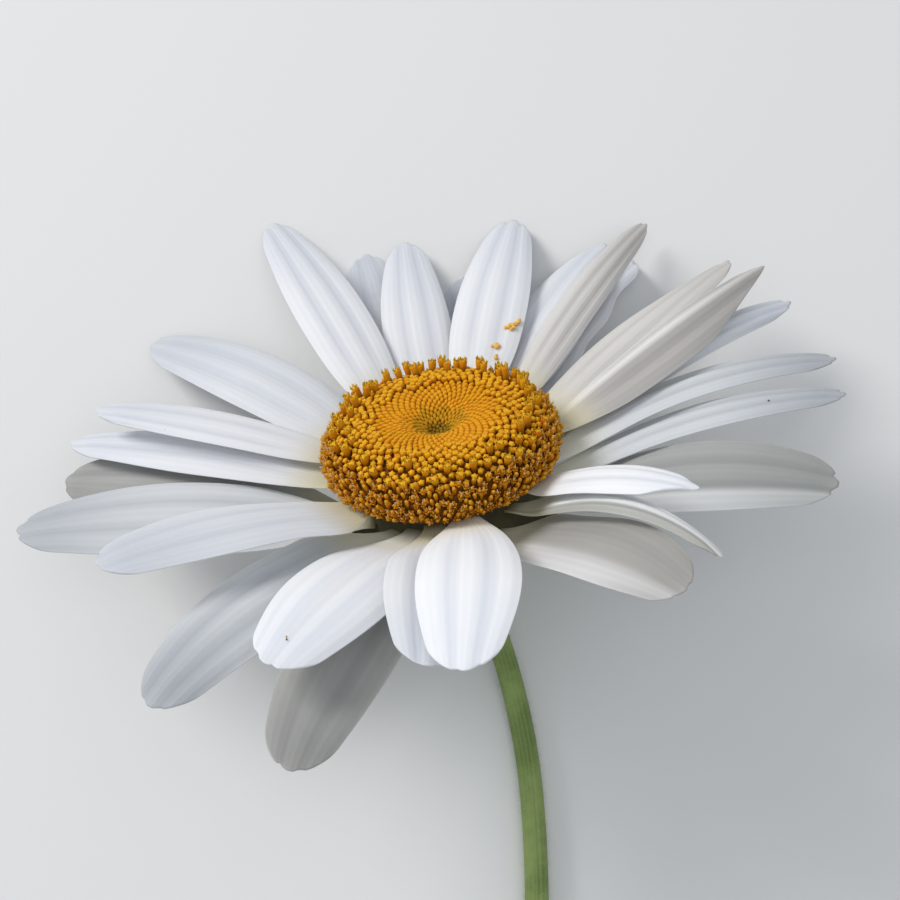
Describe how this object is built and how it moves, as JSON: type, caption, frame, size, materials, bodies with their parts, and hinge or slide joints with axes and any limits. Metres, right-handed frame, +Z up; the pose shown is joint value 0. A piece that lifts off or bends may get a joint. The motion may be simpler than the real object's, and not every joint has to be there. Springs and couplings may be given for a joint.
{
  "type": "daisy flower",
  "caption": "Picked daisy lying down: white petals in layers round a yellow floret disc, green bract cup and a short bent stem.",
  "frame": {"origin": "middle of the bounding box's underside, on the surface that the flower lies on", "axes": "+Z up from that surface, +Y from the cut end of the stem towards the head, +X to the right as the face of the flower is seen in the picture"},
  "size_m": [0.0809, 0.1297, 0.0435],
  "materials": {
    "petal_white": "soft matt petal, slightly ridged lengthwise",
    "disc_yellow": "matt pollen-covered florets",
    "bract_green": "matt leaf green with dry edges",
    "stem_green": "matt leaf green"
  },
  "bodies": {
    "root": {"petal_01": "petal_white", "petal_02": "petal_white", "petal_03": "petal_white", "petal_04": "petal_white", "petal_05": "petal_white", "petal_06": "petal_white", "petal_07": "petal_white", "petal_08": "petal_white", "petal_09": "petal_white", "petal_10": "petal_white", "petal_11": "petal_white", "petal_12": "petal_white", "petal_13": "petal_white", "petal_14": "petal_white", "petal_15": "petal_white", "petal_16": "petal_white", "petal_17": "petal_white", "petal_18": "petal_white", "petal_19": "petal_white", "petal_20": "petal_white", "petal_21": "petal_white", "petal_22": "petal_white", "petal_23": "petal_white", "petal_24": "petal_white", "petal_25": "petal_white", "petal_26": "petal_white", "petal_27": "petal_white", "petal_28": "petal_white", "disc": "disc_yellow", "involucre": "bract_green", "stem": "stem_green"}
  },
  "joints": []
}
